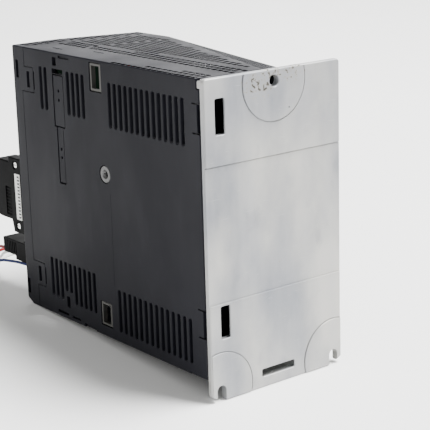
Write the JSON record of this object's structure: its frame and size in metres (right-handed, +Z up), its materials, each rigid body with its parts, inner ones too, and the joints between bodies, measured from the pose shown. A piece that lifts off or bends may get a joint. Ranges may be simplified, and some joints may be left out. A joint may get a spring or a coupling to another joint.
{
  "type": "servo drive",
  "caption": "Wall-mounted servo drive: ventilated charcoal casing on a cast aluminium heatsink plate, with front sockets, display door, keys, fan and plugs.",
  "frame": {"origin": "centre of the footprint (loose wires and their plugs left out) at the mounting plate's bottom edge", "axes": "+Z up, front face towards -Y, mounting plate at +Y, width along X"},
  "size_m": [0.09, 0.2845, 0.168],
  "materials": {
    "cast_aluminium": "satin cast, machined pads",
    "charcoal_plastic": "fine texture",
    "black_plastic": "satin",
    "grey_plastic": "satin",
    "smoked_window": "gloss",
    "sheet_steel": "satin plated",
    "nickel": "bright plated",
    "green_board": "solder mask",
    "capacitor_sleeve": "shrink sleeve",
    "white_label": "paper",
    "red_lens": "gloss",
    "red_wire": "satin",
    "white_wire": "satin",
    "blue_wire": "satin"
  },
  "bodies": {
    "drive": {"heatsink": "cast_aluminium", "casing": "charcoal_plastic", "front_cover": "charcoal_plastic", "mains_socket": "black_plastic", "control_supply_socket": "black_plastic", "motor_socket": "black_plastic", "power_module": "black_plastic", "fan_frame": "black_plastic", "feeder_plug": "black_plastic", "relay_plug": "black_plastic", "io_socket": "grey_plastic", "encoder_socket": "grey_plastic", "network_socket": "grey_plastic", "feeder_socket": "grey_plastic", "relay_socket": "grey_plastic", "braking_resistor": "grey_plastic", "display_module": "smoked_window", "chassis_sheet": "sheet_steel", "usb_port": "nickel", "side_screw": "nickel", "board_pillar_1": "nickel", "board_pillar_2": "nickel", "board_pillar_3": "nickel", "board_pillar_4": "nickel", "display_board": "green_board", "control_board": "green_board", "power_board": "green_board", "capacitor_left": "capacitor_sleeve", "capacitor_right": "capacitor_sleeve", "charge_lamp": "red_lens", "wire_red": "red_wire", "end_sleeve_red": "red_wire", "wire_white": "white_wire", "end_sleeve_white": "white_wire", "wire_blue": "blue_wire", "end_sleeve_blue": "blue_wire"},
    "fan_rotor": {"fan_rotor": "black_plastic"},
    "display_door": {"display_door": "smoked_window"},
    "key_mode": {"key_mode": "grey_plastic"},
    "key_up": {"key_up": "grey_plastic"},
    "key_set": {"key_set": "grey_plastic"},
    "io_plug": {"io_plug_shell_right": "black_plastic", "io_plug_shell_left": "black_plastic", "io_plug_label": "white_label", "io_plug_screw_1": "nickel", "io_plug_screw_2": "nickel", "io_plug_insert": "nickel"}
  },
  "joints": [
    {"name": "fan_spin", "type": "hinge", "parent": "drive", "child": "fan_rotor", "pos_m": [0, 0.087, 0.022], "axis": [0, 0, 1], "continuous": true},
    {"name": "door_swing", "type": "hinge", "parent": "drive", "child": "display_door", "pos_m": [0, -0.0668, 0.15895], "axis": [-1, 0, 0], "range_deg": [0, 100]},
    {"name": "key_mode_press", "type": "slide", "parent": "drive", "child": "key_mode", "axis": [0, 1, 0], "range_m": [0, 0.0008], "stiffness_N_per_m": 800, "springref_m": -0.0004},
    {"name": "key_up_press", "type": "slide", "parent": "drive", "child": "key_up", "axis": [0, 1, 0], "range_m": [0, 0.0008], "stiffness_N_per_m": 800, "springref_m": -0.0004},
    {"name": "key_set_press", "type": "slide", "parent": "drive", "child": "key_set", "axis": [0, 1, 0], "range_m": [0, 0.0008], "stiffness_N_per_m": 800, "springref_m": -0.0004},
    {"name": "io_plug_pull", "type": "slide", "parent": "drive", "child": "io_plug", "axis": [0, -1, 0], "range_m": [0, 0.012]}
  ]
}
